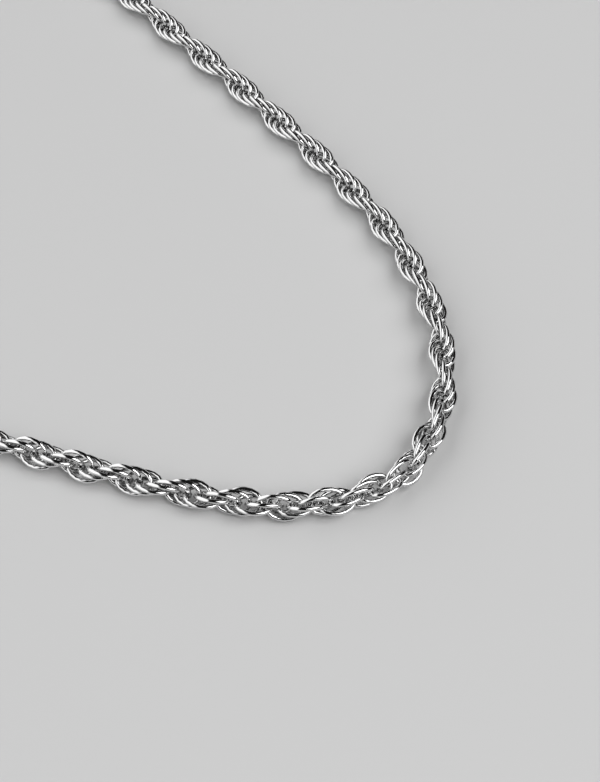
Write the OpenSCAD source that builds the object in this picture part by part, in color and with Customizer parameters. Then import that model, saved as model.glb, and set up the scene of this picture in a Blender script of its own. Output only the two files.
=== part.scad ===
// Rope chain necklace, lying fastened in one open loop on a flat surface.
// +Z is up and the chain rests on Z = 0. The origin is the middle of the loop's box,
// at the level of the surface. The clasp lies at -X and the rope's tight bend at +X, -Y.

/* [Rope] */
// Width of the rope of links
rope_d = 5; // [3:0.1:8]

/* [End caps] */
// Thickness of the cap's wall round the rope
cap_wall = 0.45; // [0.3:0.05:1]
// Depth of the bore that the rope's end sits in
cap_depth = 5; // [3:0.5:8]
// Thickness of the cap's closed end
cap_end = 1; // [0.6:0.1:2]
// Width of the bead round the cap's mouth
cap_bead = 0.9; // [0.5:0.1:1.4]
// Radius of the hole in the flat eye on the cap's end
cap_eye_r = 1.3; // [1:0.1:2]
// Width of the metal round that hole
cap_eye_band = 0.9; // [0.6:0.1:1.4]
// Thickness of the cap's eye
cap_eye_t = 0.9; // [0.6:0.1:1.4]

/* [Rings] */
// Wire of the two rings that join the clasp to the caps
ring_wire = 1; // [0.7:0.05:1.3]
// Radius of a ring, to the middle of its wire
ring_r = 2.5; // [2.3:0.05:3.2]

/* [Clasp] */
// Length of the clasp over all
clasp_l = 13; // [11:0.5:18]
// Thickness of the clasp
clasp_t = 2.4; // [1.6:0.1:2.8]
// Radius of the hole in the clasp's eye
clasp_eye_r = 1.4; // [1.2:0.05:1.6]
// Width of the metal round the clasp's holes
clasp_band = 1.1; // [0.8:0.05:1.2]
// Radius of the wide end of the hook's hole
hook_r = 2; // [1.6:0.1:2.6]
// Radius of the narrow end of the hook's hole
hook_neck_r = 1.5; // [1.2:0.1:1.8]
// Radius of the thumb tab on the hook's side
tab_r = 1.1; // [0.8:0.1:1.5]

/* [Fit] */
// Gap that loose pieces keep from each other
fit_gap = 0.1; // [0.05:0.01:0.15]

/* [Hidden] */
rope_sides = 12;
span_steps = 2;
round_fn = 96;
// The rope's middle line, as it was chosen round the loop from the far cap to the near
// one, in plan. Both caps sit on the line X = clasp_x, on each side of clasp_y.
loop_points = [
    [-78, 51.5], [-73, 63], [-63, 72], [-49.5, 77.5], [-35, 79], [-17.5, 77],
    [1.5, 68.5], [18.5, 53.5], [25.5, 45.5], [34.5, 34.5], [42, 25.5],
    [49, 16.5], [56, 7.5], [63, -2.5], [69.5, -12.5], [75, -24], [79, -37],
    [80, -49], [78.5, -60.5], [72.5, -72], [63, -77.5], [51.5, -79],
    [39, -77], [27, -73.5], [15, -69.5], [5, -66], [-8.5, -62], [-22, -58],
    [-35.5, -53], [-48.5, -46.5], [-60, -38.5], [-69.5, -28.5],
    [-75.5, -18], [-78.5, -8]
];
clasp_x = -79;
clasp_y = 20;

// The rope is a tube whose flats are rope_d apart, with one flat down.
rope_r = rope_d / 2;
rope_corner_r = rope_r / cos(180 / rope_sides);
bore_r = rope_corner_r + fit_gap;
cap_r = bore_r + cap_wall;
cap_z = cap_r + cap_bead / 2 - cap_wall / 2;
cap_eye_outer_r = cap_eye_r + cap_eye_band;

// A ring stands on the surface, and holds an eye from each side.
ring_z = ring_r + ring_wire / 2;
ring_hole_r = ring_r - ring_wire / 2;
clasp_eye_outer_r = clasp_eye_r + clasp_band;
ring_y = clasp_l / 2 + ring_r - clasp_eye_outer_r;

// The clasp lies as low as its eye can in the hole of the ring.
eye_reach = ring_r - sqrt(pow(clasp_eye_r, 2) - pow(ring_wire / 2, 2));
clasp_low = ring_z - sqrt(pow(ring_hole_r - fit_gap, 2) - pow(eye_reach, 2));
clasp_eye_y = clasp_l / 2 - clasp_eye_outer_r;
hook_y = hook_r + clasp_band - clasp_l / 2;
neck_y = clasp_eye_y - clasp_eye_r - clasp_band - hook_neck_r;

// Distance from the middle of the clasp to the cap's end face and to the rope's end.
cap_y = ring_y + ring_r + cap_eye_r;
rope_end_y = cap_y + cap_end + fit_gap;

// Each end of the rope runs straight through its cap before it follows the loop,
// and comes down from the cap's height to the surface at the first chosen point.
straight = 0.9 * cap_depth;
far_end = [for (k = [0, 1, 2]) [clasp_x, clasp_y + rope_end_y + k * straight, cap_z]];
near_end = [for (k = [2, 1, 0]) [clasp_x, clasp_y - rope_end_y - k * straight, cap_z]];
laid = [for (p = loop_points) [p.x, p.y, rope_r]];
route = concat(far_end, laid, near_end);

steel = [0.80, 0.80, 0.82];

// A smooth curve through the route's points, and its direction there.
function ahead(p) = concat([2 * p[0] - p[1]], p, [2 * p[len(p) - 1] - p[len(p) - 2]]);
function curve(a, b, c, d, t) =
    0.5 * (2 * b + t * (c - a) + t * t * (2 * a - 5 * b + 4 * c - d)
        + t * t * t * (3 * b - a - 3 * c + d));
function slope(a, b, c, d, t) =
    0.5 * (c - a + 2 * t * (2 * a - 5 * b + 4 * c - d) + 3 * t * t * (3 * b - a - 3 * c + d));
function unit(v) = v / norm(v);

// The height between two points goes from one to the other with no dip past either.
function rise(b, c, t) = b + (c - b) * t * t * (3 - 2 * t);
function climb(b, c, t) = 6 * (c - b) * t * (1 - t);

// One ring of corners round the point p, square to the direction along.
function corners(p, along, r, sides) =
    let (side = unit(cross([0, 0, 1], along)), up = cross(along, side))
    [for (k = [0 : sides - 1])
        let (a = 360 * (k + 0.5) / sides)
        p + r * (cos(a) * side + sin(a) * up)];

// All rings of a tube along a path, span_steps to each span.
function tube_rings(path, r, sides) =
    let (q = ahead(path), spans = len(path) - 1)
    [for (i = [0 : spans * span_steps])
        let (
            s = min(floor(i / span_steps), spans - 1),
            t = i / span_steps - s,
            p = curve(q[s], q[s + 1], q[s + 2], q[s + 3], t),
            d = slope(q[s], q[s + 1], q[s + 2], q[s + 3], t),
            height = rise(q[s + 1].z, q[s + 2].z, t),
            up = climb(q[s + 1].z, q[s + 2].z, t)
        )
        corners([p.x, p.y, height], unit([d.x, d.y, up]), r, sides)];

// A closed tube through rings of corners.
module tube(rings) {
    sides = len(rings[0]);
    last = (len(rings) - 1) * sides;
    points = [for (ring = rings) each ring];
    wall = [for (i = [0 : len(rings) - 2], k = [0 : sides - 1])
        let (a = i * sides + k, b = i * sides + (k + 1) % sides)
        each [[a, a + sides, b + sides], [a, b + sides, b]]];
    start = [for (k = [0 : sides - 1]) k];
    end = [for (k = [sides - 1 : -1 : 0]) last + k];
    polyhedron(points, concat([start], wall, [end]), convexity = 10);
}

// The flat shape that two discs and the straight lines touching both enclose.
module oval(ya, ra, yb, rb) {
    turn = asin((ra - rb) / abs(ya - yb));
    way = sign(yb - ya);
    translate([0, ya])
        circle(ra, $fn = round_fn);
    translate([0, yb])
        circle(rb, $fn = round_fn);
    polygon([
        [ra * cos(turn), ya + way * ra * sin(turn)],
        [rb * cos(turn), yb + way * rb * sin(turn)],
        [-rb * cos(turn), yb + way * rb * sin(turn)],
        [-ra * cos(turn), ya + way * ra * sin(turn)]
    ]);
}

// Puts a piece of one end in place: turn is 0 at the far end and 180 at the near end.
module at_end(turn, y, z) {
    translate([clasp_x, clasp_y, z])
        rotate([0, 0, turn])
            translate([0, y, 0])
                children();
}

module rope_chain() {
    color(steel)
        tube(tube_rings(route, rope_corner_r, rope_sides));
}

// A barrel over the rope's end, with a bead at its mouth and a flat eye on its closed end.
module end_cap(turn) {
    bead_y = cap_end + cap_depth - cap_bead / 2;
    at_end(turn, cap_y, cap_z)
        color(steel) {
            rotate([-90, 0, 0])
                rotate_extrude($fn = round_fn)
                    difference() {
                        union() {
                            square([cap_r - cap_end / 2, cap_end + cap_depth]);
                            translate([0, cap_end / 2])
                                square([cap_r, cap_depth]);
                            translate([cap_r - cap_end / 2, cap_end / 2])
                                circle(cap_end / 2, $fn = round_fn);
                            translate([cap_r - cap_wall / 2, bead_y])
                                circle(cap_bead / 2, $fn = round_fn);
                        }
                        translate([0, cap_end])
                            square([bore_r, cap_depth + cap_bead]);
                    }
            difference() {
                translate([0, -cap_eye_r, -cap_eye_t / 2])
                    cylinder(h = cap_eye_t, r = cap_eye_outer_r, $fn = round_fn);
                translate([0, -cap_eye_r, -cap_eye_t])
                    cylinder(h = 2 * cap_eye_t, r = cap_eye_r, $fn = round_fn);
                translate([-cap_r, cap_end, -cap_eye_t])
                    cube([2 * cap_r, cap_depth, 2 * cap_eye_t]);
            }
        }
}

// A round ring standing on the surface, square to the eyes it holds.
module ring(turn) {
    at_end(turn, ring_y, ring_z)
        color(steel)
            rotate([0, 90, 0])
                rotate_extrude($fn = round_fn)
                    translate([ring_r, 0])
                        circle(ring_wire / 2, $fn = round_fn);
}

// A plain hook in one piece, its eye at the far end and its hole over the near ring.
module clasp() {
    tab_x = hook_neck_r + clasp_band + tab_r / 3;
    at_end(0, 0, clasp_low)
        color(steel)
            linear_extrude(height = clasp_t)
                difference() {
                    union() {
                        oval(hook_y, hook_r + clasp_band, neck_y, hook_neck_r + clasp_band);
                        oval(neck_y, hook_neck_r + clasp_band, clasp_eye_y, clasp_eye_outer_r);
                        translate([tab_x, neck_y])
                            circle(tab_r, $fn = round_fn);
                        translate([0, neck_y - tab_r])
                            square([tab_x, 2 * tab_r]);
                    }
                    oval(hook_y, hook_r, neck_y, hook_neck_r);
                    translate([0, clasp_eye_y])
                        circle(clasp_eye_r, $fn = round_fn);
                }
}

rope_chain();
end_cap(0);  // end_cap_far
end_cap(180);  // end_cap_near
ring(0);  // ring_far
ring(180);  // ring_near
clasp();
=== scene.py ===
# %% [markdown]
# # A rope chain of steel links
#
# This lesson dresses the frame of a necklace: a rope chain that lies fastened in one open
# loop on a table. The frame is a CAD model of six solids. Five of them, the end caps, the
# rings and the clasp, only need their finish here. The sixth is a plain tube that stands
# for the rope, and the lesson makes the rope itself: nearly three hundred oval links of
# round wire, each of them caught in its neighbours. Everything is in metres.

# %% Load the frame
from math import atan2, cos, pi, radians, sin

import bpy
import numpy as np
from mathutils import Matrix, Vector


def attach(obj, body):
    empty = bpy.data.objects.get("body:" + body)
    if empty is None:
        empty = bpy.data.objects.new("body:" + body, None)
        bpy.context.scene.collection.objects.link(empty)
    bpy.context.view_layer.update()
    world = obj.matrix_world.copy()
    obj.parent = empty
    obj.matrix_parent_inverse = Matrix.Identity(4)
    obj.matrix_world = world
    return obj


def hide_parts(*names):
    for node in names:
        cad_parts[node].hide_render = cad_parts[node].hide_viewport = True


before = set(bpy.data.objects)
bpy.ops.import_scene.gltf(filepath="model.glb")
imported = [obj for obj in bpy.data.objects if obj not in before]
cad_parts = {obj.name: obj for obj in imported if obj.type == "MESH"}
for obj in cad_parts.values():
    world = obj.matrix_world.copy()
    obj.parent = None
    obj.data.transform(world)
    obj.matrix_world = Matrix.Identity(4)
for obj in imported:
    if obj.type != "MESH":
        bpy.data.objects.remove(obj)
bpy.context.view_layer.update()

MM = 0.001
UP = Vector((0, 0, 1))
print("nodes:", sorted(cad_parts))


def start_clean():
    """Leaves object mode and deselects all, because operators act on what is selected."""
    if bpy.context.object and bpy.context.object.mode != "OBJECT":
        bpy.ops.object.mode_set(mode="OBJECT")
    bpy.ops.object.select_all(action="DESELECT")


# %% [markdown]
# ## The way the rope lies
#
# A rope chain takes any curve that it is laid in. The curve could be a Bezier curve drawn
# by eye, but the CAD tube already has one, and the links have to stay where the tube is.
# So the tube's own list of points is repeated here, with the same smooth curve through it:
# in plan each span is a Catmull-Rom piece, and the height eases from one point to the next
# without a dip. The two ends lie in the caps, a little above the table.

# %% The rope's middle line
ROPE_RADIUS = 2.5 * MM
CLASP_X, FAR_END_Y, NEAR_END_Y, CAP_Z = -0.079, 0.0314, 0.0086, 0.003363
LOOP_POINTS = [
    (-0.078, 0.0515), (-0.073, 0.063), (-0.063, 0.072), (-0.0495, 0.0775), (-0.035, 0.079),
    (-0.0175, 0.077), (0.0015, 0.0685), (0.0185, 0.0535), (0.0255, 0.0455), (0.0345, 0.0345),
    (0.042, 0.0255), (0.049, 0.0165), (0.056, 0.0075), (0.063, -0.0025), (0.0695, -0.0125),
    (0.075, -0.024), (0.079, -0.037), (0.08, -0.049), (0.0785, -0.0605), (0.0725, -0.072),
    (0.063, -0.0775), (0.0515, -0.079), (0.039, -0.077), (0.027, -0.0735), (0.015, -0.0695),
    (0.005, -0.066), (-0.0085, -0.062), (-0.022, -0.058), (-0.0355, -0.053),
    (-0.0485, -0.0465), (-0.06, -0.0385), (-0.0695, -0.0285), (-0.0755, -0.018),
    (-0.0785, -0.008),
]
STRAIGHT = 4.5 * MM
STEPS_A_SPAN = 40

far_end = [(CLASP_X, FAR_END_Y + k * STRAIGHT, CAP_Z) for k in (0, 1, 2)]
near_end = [(CLASP_X, NEAR_END_Y - k * STRAIGHT, CAP_Z) for k in (2, 1, 0)]
route = np.array(far_end + [(x, y, ROPE_RADIUS) for x, y in LOOP_POINTS] + near_end)


def smooth_line(points):
    """Closely spaced points on the same curve that the CAD tube follows."""
    padded = np.vstack([2 * points[0] - points[1], points, 2 * points[-1] - points[-2]])
    line = [points[0]]
    for a, b, c, d in zip(padded, padded[1:], padded[2:], padded[3:]):
        for step in range(1, STEPS_A_SPAN + 1):
            t = step / STEPS_A_SPAN
            point = 0.5 * (2 * b + t * (c - a) + t * t * (2 * a - 5 * b + 4 * c - d)
                           + t ** 3 * (3 * b - a - 3 * c + d))
            point[2] = b[2] + (c[2] - b[2]) * t * t * (3 - 2 * t)
            line.append(point)
    return np.array(line)


rope_line = smooth_line(route)
steps = np.linalg.norm(np.diff(rope_line, axis=0), axis=1)
distance_at = np.concatenate([[0], np.cumsum(steps)])
rope_length = distance_at[-1]


def on_rope(distance):
    """The point of the rope's middle line at that distance from the far cap's end."""
    return Vector([np.interp(distance, distance_at, rope_line[:, axis]) for axis in range(3)])


def directions(distance):
    """The rope's direction there, level square to it, and square to both."""
    along = on_rope(distance + MM) - on_rope(distance - MM)
    along.normalize()
    side = UP.cross(along).normalized()
    return along, side, along.cross(side)


print(f"rope {rope_length / MM:.1f} mm long")

# %% [markdown]
# ## Where the camera stands
#
# The photographer looked down on the chain at fifty degrees, with a long lens. The camera
# comes this early in the lesson because the twist of the rope is told from its place.

# %% The camera
LOOKED_AT = Vector((0.0552, -0.0544, 0.0025))
CAMERA_PLACE = Vector((0.0552, -0.2694, 0.2587))
LENS = 117
SENSOR_WIDTH = 36
NEAREST_SEEN, FARTHEST_SEEN = 0.01, 20

bpy.ops.object.camera_add(location=CAMERA_PLACE)
camera = bpy.context.object
camera.name = "camera"
camera.rotation_euler = (LOOKED_AT - CAMERA_PLACE).to_track_quat("-Z", "Y").to_euler()
camera.data.sensor_fit = "HORIZONTAL"
camera.data.sensor_width = SENSOR_WIDTH
camera.data.lens = LENS
camera.data.clip_start, camera.data.clip_end = NEAREST_SEEN, FARTHEST_SEEN
bpy.context.scene.camera = camera
print(f"camera {(LOOKED_AT - CAMERA_PLACE).length:.3f} m from the chain")

# %% [markdown]
# ## How the rope twists
#
# A rope chain looks like two strands wound round each other, and it narrows to a waist
# wherever the flat links stand edge-on to the eye. From one waist to the next the links
# make half a turn. The twist could be the same all along, but a chain that has been handled
# is wound more tightly in one place than in another. So the waists that the photograph
# shows are listed by their distance along the rope, and the links' turn is worked out
# between them. Past the first and the last waist it goes on evenly.

# %% The turn of the links along the rope
WAISTS_MM = [
    145.7, 158.4, 170.4, 182.5, 194.5, 206.0, 217.5, 228.4, 239.0, 249.4, 260.7,
    271.6, 279.3, 286.1, 293.9, 300.8, 308.4, 315.8, 325.5, 335.4, 343.7, 352.3,
]
HALF_TURN_FAR = 12.4
HALF_TURN_NEAR = 10.5
SMOOTHED_OVER_MM = 10
TURN_STEP_MM = 0.5
PITCH_MEASURED_OVER = 4 * MM
LEAST_TURN = 0.1

waists = list(WAISTS_MM)
while waists[0] > 0:
    waists.insert(0, waists[0] - HALF_TURN_FAR)
while waists[-1] < rope_length / MM:
    waists.append(waists[-1] + HALF_TURN_NEAR)


def seen_from(distance):
    """The angle round the rope at which the camera stands there."""
    along, side, up = directions(distance)
    view = CAMERA_PLACE - on_rope(distance)
    return atan2(view.dot(up), view.dot(side))


seen = np.unwrap([seen_from(np.clip(w * MM, 0, rope_length)) for w in waists])
turn_at_waist = [angle - pi * number for number, angle in enumerate(seen)]
turn_mm = np.arange(0, rope_length / MM + 1, TURN_STEP_MM)
turns = np.interp(turn_mm, waists, turn_at_waist)
window = int(SMOOTHED_OVER_MM / TURN_STEP_MM)
padded_turns = np.pad(turns, window, mode="reflect", reflect_type="odd")
turns = np.convolve(padded_turns, np.ones(window + 1) / (window + 1), mode="same")
turns = turns[window:-window]


def turn_of_rope(distance):
    """The angle of the links' plane round the rope at that distance."""
    return np.interp(distance / MM, turn_mm, turns)


def pitch_of_rope(distance):
    """How far the rope goes on, in mm, while its links turn once."""
    half = PITCH_MEASURED_OVER / 2
    turn = turn_of_rope(distance - half) - turn_of_rope(distance + half)
    return 2 * pi * PITCH_MEASURED_OVER / MM / max(turn, LEAST_TURN)


print(f"{len(waists)} waists, {(turns[0] - turns[-1]) / (2 * pi):.1f} turns of the rope")

# %% [markdown]
# ## One link
#
# A link is a piece of round wire bent to an oval and soldered shut. It could be a torus, but
# stretching a torus to an oval stretches its wire as well. So the link starts as a Bezier
# circle, which is scaled to the oval in edit mode, and its bevel then lays a round wire of
# even thickness along it. The shape is copied hundreds of times, so it keeps to sixteen
# steps round the oval and six round the wire, and smooth shading does the rest.

# %% Bend the wire
WIRE = 0.80 * MM
LINK_HALF_LENGTH = 2.98 * MM
LINK_HALF_WIDTH = 2.10 * MM
STEPS_A_QUARTER = 4
WIRE_ROUNDING = 1  # gives the wire six sides

start_clean()
bpy.ops.curve.primitive_bezier_circle_add(radius=1)
link = bpy.context.object
link.name = "link"
bpy.ops.object.mode_set(mode="EDIT")
bpy.ops.curve.select_all(action="SELECT")
bpy.ops.transform.resize(value=(LINK_HALF_WIDTH, LINK_HALF_LENGTH, 1))
bpy.ops.object.mode_set(mode="OBJECT")
link.data.resolution_u = STEPS_A_QUARTER
link.data.bevel_depth = WIRE / 2
link.data.bevel_resolution = WIRE_ROUNDING
bpy.ops.object.convert(target="MESH")
bpy.ops.object.shade_smooth()
print("link:", len(link.data.vertices), "vertices,", len(link.data.polygons), "faces")

# %% [markdown]
# ## The rope of links
#
# In a rope chain each link is caught in the next three, which is what makes it so dense.
# Neighbours are turned by half a turn and a little more, and that little more adds up to the
# rope's twist. Each link also stands out to its own side, most where the rope is wound
# tightly, and leans a little to keep clear of the wires beside it. That is why the outer
# arcs line up in two strands. The links could be an array along a curve, but an array
# can't let the twist run faster or slower, so each copy gets its own place from the
# functions above.
#
# The step and the link's length depend on each other. A link's tip has to reach past the
# tip of the third link on and stop short of the fourth, with a wire's thickness to spare
# at both. The rope rests on its outermost wires, and a small seeded jitter keeps it from
# looking like a drawing.

# %% Where each link goes
LINK_STEP = 1.70 * MM
FIRST_LINK = 3.5 * MM
STAND_OUT_TIGHT, STAND_OUT_LOOSE = 0.2, 0.05
PITCH_TIGHT, PITCH_LOOSE = 18, 21
LEAN_PER_MM = radians(8)
JITTER_TURN = radians(1)
JITTER_SHIFT = 0.02 * MM
SEED = 7

linked_length = rope_length - 2 * FIRST_LINK
link_count = int(linked_length / LINK_STEP) + 1
chance = np.random.default_rng(SEED)


def link_place(number):
    """The place and the turn of one link, as a matrix."""
    distance = FIRST_LINK + number * linked_length / (link_count - 1)
    along, side, up = directions(distance)
    turn = turn_of_rope(distance) + pi * number + JITTER_TURN * chance.normal()
    out = cos(turn) * side + sin(turn) * up
    across = cos(turn) * up - sin(turn) * side
    stand_out = np.interp(pitch_of_rope(distance), (PITCH_TIGHT, PITCH_LOOSE),
                          (STAND_OUT_TIGHT, STAND_OUT_LOOSE))
    lean = LEAN_PER_MM * stand_out
    long_way = sin(lean) * across + cos(lean) * along
    outermost = LINK_HALF_WIDTH + stand_out * MM + WIRE / 2
    place = on_rope(distance) + out * (stand_out * MM) + UP * (outermost - ROPE_RADIUS)
    place += Vector(chance.uniform(-1, 1, 2).tolist() + [0]) * JITTER_SHIFT
    turned = Matrix((out, long_way, out.cross(long_way))).transposed()
    return Matrix.Translation(place) @ turned.to_4x4()


print(f"{link_count} links, {linked_length / (link_count - 1) / MM:.2f} mm apart")

# %% [markdown]
# ## Laying the links
#
# On the real chain each new link is passed through the ones before it and then soldered
# shut. Here nothing has to be threaded, because the places alone make the links run
# through one another. The copies could stay separate objects, but the rope is one piece of
# the necklace, so each copy's mesh is moved to its place and all are joined into one.

# %% Lay the links
start_clean()
for number in range(link_count):
    copy = link.copy()
    copy.data = link.data.copy()
    copy.data.transform(link_place(number))
    bpy.context.collection.objects.link(copy)
    copy.select_set(True)
    bpy.context.view_layer.objects.active = copy
bpy.ops.object.join()
rope = bpy.context.object
rope.name = "rope_of_links"
bpy.data.objects.remove(link)
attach(rope, "root")
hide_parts("rope_chain")
print("rope of links:", len(rope.data.polygons), "faces")

# %% [markdown]
# ## Smooth edges on the fastening
#
# The caps and the clasp are cast and tumbled, so none of their edges is sharp. The rings
# are bent from wire and have none, so they only take the smooth shading. The CAD meshes
# could be rebuilt with rounded edges, but they are the checked shape, so modifiers do the
# rounding instead. Weld joins the loose triangles, Bevel rounds what meets at a steep angle,
# and Weighted Normal keeps the flats flat under smooth shading.

# %% Round the edges
EDGE_ROUNDING = 0.12 * MM
WELD_DISTANCE = 0.002 * MM
STEEP = radians(40)
ROUNDING_STEPS = 2

fastening = [name for name in sorted(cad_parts) if name != "rope_chain"]
for name in fastening:
    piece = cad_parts[name]
    weld = piece.modifiers.new("weld", "WELD")
    weld.merge_threshold = WELD_DISTANCE
    rounding = piece.modifiers.new("rounded edges", "BEVEL")
    rounding.limit_method = "ANGLE"
    rounding.angle_limit = STEEP
    rounding.width = EDGE_ROUNDING
    rounding.segments = ROUNDING_STEPS
    piece.modifiers.new("flat flats", "WEIGHTED_NORMAL")
    piece.data.shade_smooth()
print("rounded:", ", ".join(fastening))

# %% [markdown]
# ## Polished steel
#
# Polished steel has hardly a colour of its own: it shows the room. What makes it look real
# is what it mirrors, and a faint unevenness that keeps a reflection from being perfect.
# Between the links the steel's colour is darkened as painted shade, where little light
# reaches. That shade could be painted on by hand, but how closed in a spot is can be measured
# where it is shaded.

# %% The steel
# Painted shade: the steel's tone in the open, and the dark tone painted where the links close
# in.
OPEN_STEEL_TONE, PAINTED_SHADE_TONE = 0.73, 0.18
PAINTED_SHADE_REACH = 1.5 * MM
CLOSED_IN, IN_THE_OPEN = 0.15, 0.75
OPENNESS_RAYS = 8
GRAIN_SCALE, GRAIN_DETAIL = 900, 3
SMOOTHEST, ROUGHEST = 0.05, 0.12


def new_material(name):
    """An empty material and its shader."""
    material = bpy.data.materials.new(name)
    material.use_nodes = True
    return material, material.node_tree, material.node_tree.nodes["Principled BSDF"]


def range_node(tree, start, end, at_start, at_end):
    """A node that turns the values from start to end into those from at_start to at_end."""
    node = tree.nodes.new("ShaderNodeMapRange")
    for socket, value in (("From Min", start), ("From Max", end),
                          ("To Min", at_start), ("To Max", at_end)):
        node.inputs[socket].default_value = value
    return node


steel, tree, shader = new_material("polished steel")
shader.inputs["Metallic"].default_value = 1
# Painted shade: an ambient occlusion node darkens the base colour where the steel is closed
# in between the links.
openness = tree.nodes.new("ShaderNodeAmbientOcclusion")
openness.samples = OPENNESS_RAYS
openness.inputs["Distance"].default_value = PAINTED_SHADE_REACH
painted_shade = range_node(tree, CLOSED_IN, IN_THE_OPEN, PAINTED_SHADE_TONE, OPEN_STEEL_TONE)
tree.links.new(openness.outputs["AO"], painted_shade.inputs["Value"])
tree.links.new(painted_shade.outputs["Result"], shader.inputs["Base Color"])
own_place = tree.nodes.new("ShaderNodeTexCoord")
grain = tree.nodes.new("ShaderNodeTexNoise")
grain.inputs["Scale"].default_value = GRAIN_SCALE
grain.inputs["Detail"].default_value = GRAIN_DETAIL
gloss = range_node(tree, 0, 1, SMOOTHEST, ROUGHEST)
tree.links.new(own_place.outputs["Object"], grain.inputs["Vector"])
tree.links.new(grain.outputs["Fac"], gloss.inputs["Value"])
tree.links.new(gloss.outputs["Result"], shader.inputs["Roughness"])

pieces = [rope, *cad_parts.values()]
for piece in pieces:
    piece.data.materials.clear()
    piece.data.materials.append(steel)
print("steel on", len(pieces), "pieces")

# %% [markdown]
# ## The table
#
# The chain lies on a plain pale card. A backdrop that curves up behind would do for a small
# view, but a flat sheet that runs far out looks the same from every side.

# %% The table
TABLE_SIZE = 6
CARD_TONE, CARD_ROUGHNESS = 0.63, 0.65

start_clean()
bpy.ops.mesh.primitive_plane_add(size=TABLE_SIZE)
table = bpy.context.object
table.name = "table"
card, tree, shader = new_material("pale card")
shader.inputs["Base Color"].default_value = (CARD_TONE, CARD_TONE, CARD_TONE, 1)
shader.inputs["Roughness"].default_value = CARD_ROUGHNESS
table.data.materials.append(card)
print("table:", TABLE_SIZE, "m wide")

# %% [markdown]
# ## The lamp
#
# A polished chain is lit by what it mirrors. One large soft lamp stands at the right and a
# little to the front, which gives the white streaks and the short soft shadows to the left.
# A small lamp could be as bright, but its mirror image in the wires would be small as well,
# and its shadows hard.

# %% The lamp
LAMP_DISTANCE = 3
LAMP_DIRECTION = Vector((0.58, -0.32, 0.75)).normalized()
LAMP_WIDTH, LAMP_HEIGHT = 3.4, 2.3
LAMP_BRIGHTNESS = 3.6

bpy.ops.object.light_add(type="AREA", location=LOOKED_AT + LAMP_DIRECTION * LAMP_DISTANCE)
lamp = bpy.context.object
lamp.name = "soft lamp"
lamp.rotation_euler = (-LAMP_DIRECTION).to_track_quat("-Z", "Y").to_euler()
lamp.data.shape = "RECTANGLE"
lamp.data.size, lamp.data.size_y = LAMP_WIDTH, LAMP_HEIGHT
lamp.data.energy = LAMP_BRIGHTNESS * pi * LAMP_WIDTH * LAMP_HEIGHT
print(f"lamp of {lamp.data.energy:.0f} W")

# %% [markdown]
# ## The room
#
# The rest of what the steel mirrors is the room. It is light on the left, so the wires on
# the far stretch show broad pale bands, and dark everywhere else, so the wires that run
# across the view have dark middles and bright edges. The light side also lays soft shadows
# to the right. It could be a second lamp, but a room that brightens smoothly towards one
# side leaves no hard edge in the steel.

# %% The room
LIGHT_SIDE = Vector((-0.98, 0.17, 0))
DARK_ROOM, LIGHT_ROOM = 0.01, 1.4
LIGHT_STARTS, LIGHT_IS_FULL = 0.28, 0.45

room = bpy.data.worlds.new("room")
bpy.context.scene.world = room
room.use_nodes = True
tree = room.node_tree
direction = tree.nodes.new("ShaderNodeTexCoord")
how_far_left = tree.nodes.new("ShaderNodeVectorMath")
how_far_left.operation = "DOT_PRODUCT"
how_far_left.inputs[1].default_value = LIGHT_SIDE
brightness = range_node(tree, LIGHT_STARTS, LIGHT_IS_FULL, DARK_ROOM, LIGHT_ROOM)
brightness.interpolation_type = "SMOOTHSTEP"
tree.links.new(direction.outputs["Generated"], how_far_left.inputs[0])
tree.links.new(how_far_left.outputs["Value"], brightness.inputs["Value"])
tree.links.new(brightness.outputs["Result"], tree.nodes["Background"].inputs["Strength"])
tree.nodes["Background"].inputs["Color"].default_value = (1, 1, 1, 1)
bpy.context.scene.view_settings.view_transform = "Standard"
print("room from", DARK_ROOM, "to", LIGHT_ROOM)
